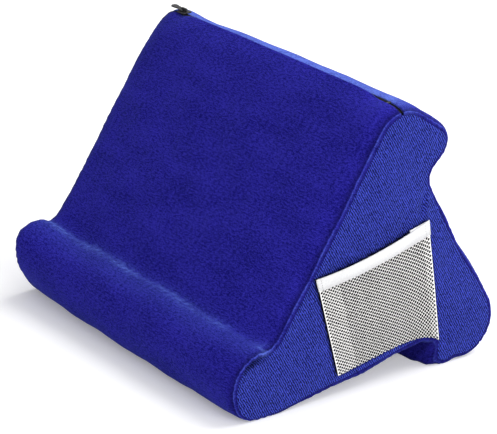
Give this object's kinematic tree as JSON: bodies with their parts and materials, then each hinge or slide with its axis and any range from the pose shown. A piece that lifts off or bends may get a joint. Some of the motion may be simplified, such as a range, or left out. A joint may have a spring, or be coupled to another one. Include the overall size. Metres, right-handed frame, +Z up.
{
  "type": "tablet cushion stand",
  "caption": "Soft wedge cushion of three rounded lobes that props a tablet, with a front lip, a zipped plush cover and a net side pocket.",
  "frame": {"origin": "middle of the bounding box on the floor", "axes": "+X along the width towards the pocket side, +Y from the lip at the front to the back, +Z up"},
  "size_m": [0.2982, 0.2319, 0.2073],
  "materials": {
    "foam": "open-cell foam",
    "plush": "short royal-blue plush",
    "knit": "brushed royal-blue knit",
    "zip_tape": "black woven tape",
    "zip_teeth": "black nylon",
    "zip_metal": "black lacquer",
    "pocket_net": "white knitted net",
    "pocket_tape": "white woven tape"
  },
  "bodies": {
    "cushion": {"foam_core": "foam", "front_panel": "plush", "back_panel": "plush", "base_panel": "plush", "side_panel_left": "knit", "side_panel_right": "knit", "zip_tape_front": "zip_tape", "zip_tape_rear": "zip_tape", "zip_teeth_front": "zip_teeth", "zip_teeth_rear": "zip_teeth", "zip_stop_front": "zip_metal", "zip_stop_rear": "zip_metal", "zip_end_stop": "zip_metal", "pocket_net": "pocket_net", "pocket_binding": "pocket_tape"},
    "slider": {"zip_slider": "zip_metal"},
    "pull": {"zip_pull": "zip_metal"}
  },
  "joints": [
    {"name": "slider_travel", "type": "slide", "parent": "cushion", "child": "slider", "axis": [1, 0, 0], "range_m": [0, 0.2455]},
    {"name": "pull_swing", "type": "hinge", "parent": "slider", "child": "pull", "pos_m": [-0.12735, 0.02842, 0.20566], "axis": [0, 0.9986, 0.0523], "range_deg": [0, 180]}
  ]
}
